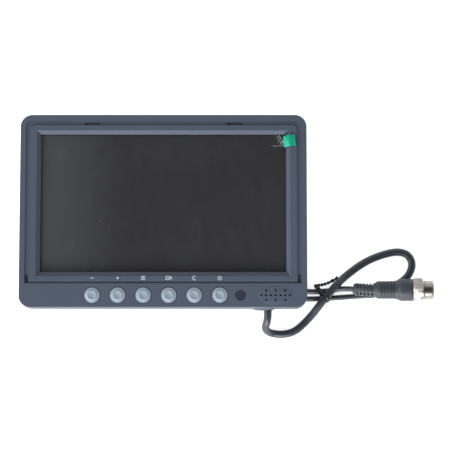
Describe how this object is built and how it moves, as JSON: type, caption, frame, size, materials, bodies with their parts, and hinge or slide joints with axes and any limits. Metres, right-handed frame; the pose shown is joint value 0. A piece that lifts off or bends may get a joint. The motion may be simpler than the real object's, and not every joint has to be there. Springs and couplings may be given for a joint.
{
  "type": "vehicle rear-view monitor",
  "caption": "Wide flat screen for a vehicle camera, lying on its back, with a row of dished keys, a speaker grille and a bundled lead ending in a threaded connector.",
  "frame": {"origin": "on the rear face, which is the plane it rests on, under the centre of the case outline", "axes": "+X to the screen's right, +Y to its top edge, +Z out of the screen"},
  "size_m": [0.2629, 0.1409, 0.027],
  "materials": {
    "case_plastic": "fine-textured blue-grey ABS",
    "key_plastic": "light blue-grey moulded caps",
    "switch_plastic": "black switch housings and stems",
    "screen_glass": "dark grey panel face",
    "tinted_plastic": "dark infrared window",
    "clear_film": "clear protective film",
    "tab_green": "green film tab",
    "sheet_steel": "plain steel",
    "light_guide": "white light guide",
    "foam_black": "black foam and cloth",
    "board_green": "green circuit board",
    "chip_black": "black moulded parts",
    "socket_white": "off-white sockets and flat cables",
    "cone_paper": "dark loudspeaker cone",
    "wire_cover": "insulated wires",
    "lead_pvc": "black flexible cover, slight gloss",
    "tie_black": "flat black plastic strip over wire",
    "nickel_plate": "nickel plate",
    "brass": "plain brass"
  },
  "bodies": {
    "case": {"front_frame": "case_plastic", "rear_cover": "case_plastic", "switch_bodies": "switch_plastic", "lcd_glass": "screen_glass", "ir_window": "tinted_plastic", "ir_receiver": "tinted_plastic", "protective_film": "clear_film", "film_pull_tab": "tab_green", "lcd_frame": "sheet_steel", "case_screws": "sheet_steel", "board_screws": "sheet_steel", "key_board_screws": "sheet_steel", "speaker_magnet": "sheet_steel", "backlight_unit": "light_guide", "screen_gasket": "foam_black", "speaker_cloth": "foam_black", "main_board": "board_green", "key_board": "board_green", "board_chips": "chip_black", "speaker_frame": "chip_black", "connector_insert": "chip_black", "board_sockets": "socket_white", "lcd_ribbon": "socket_white", "key_cable": "socket_white", "speaker_cone": "cone_paper", "lead_wires": "wire_cover", "speaker_wires": "wire_cover", "pigtail_lead": "lead_pvc", "connector_lead": "lead_pvc", "connector_boot": "lead_pvc", "lead_joint": "lead_pvc", "cable_gland": "lead_pvc", "cable_tie": "tie_black", "connector_shell": "nickel_plate", "mount_inserts": "brass", "connector_contacts": "brass"},
    "minus_key": {"minus_button": "key_plastic", "minus_stem": "switch_plastic"},
    "plus_key": {"plus_button": "key_plastic", "plus_stem": "switch_plastic"},
    "menu_key": {"menu_button": "key_plastic", "menu_stem": "switch_plastic"},
    "camera_key": {"camera_button": "key_plastic", "camera_stem": "switch_plastic"},
    "mode_key": {"mode_button": "key_plastic", "mode_stem": "switch_plastic"},
    "power_key": {"power_button": "key_plastic", "power_stem": "switch_plastic"}
  },
  "joints": [
    {"name": "minus_press", "type": "slide", "parent": "case", "child": "minus_key", "axis": [0, 0, -1], "range_m": [0, 0.0005], "stiffness_N_per_m": 1500, "springref_m": -0.0002},
    {"name": "plus_press", "type": "slide", "parent": "case", "child": "plus_key", "axis": [0, 0, -1], "range_m": [0, 0.0005], "stiffness_N_per_m": 1500, "springref_m": -0.0002},
    {"name": "menu_press", "type": "slide", "parent": "case", "child": "menu_key", "axis": [0, 0, -1], "range_m": [0, 0.0005], "stiffness_N_per_m": 1500, "springref_m": -0.0002},
    {"name": "camera_press", "type": "slide", "parent": "case", "child": "camera_key", "axis": [0, 0, -1], "range_m": [0, 0.0005], "stiffness_N_per_m": 1500, "springref_m": -0.0002},
    {"name": "mode_press", "type": "slide", "parent": "case", "child": "mode_key", "axis": [0, 0, -1], "range_m": [0, 0.0005], "stiffness_N_per_m": 1500, "springref_m": -0.0002},
    {"name": "power_press", "type": "slide", "parent": "case", "child": "power_key", "axis": [0, 0, -1], "range_m": [0, 0.0005], "stiffness_N_per_m": 1500, "springref_m": -0.0002}
  ]
}
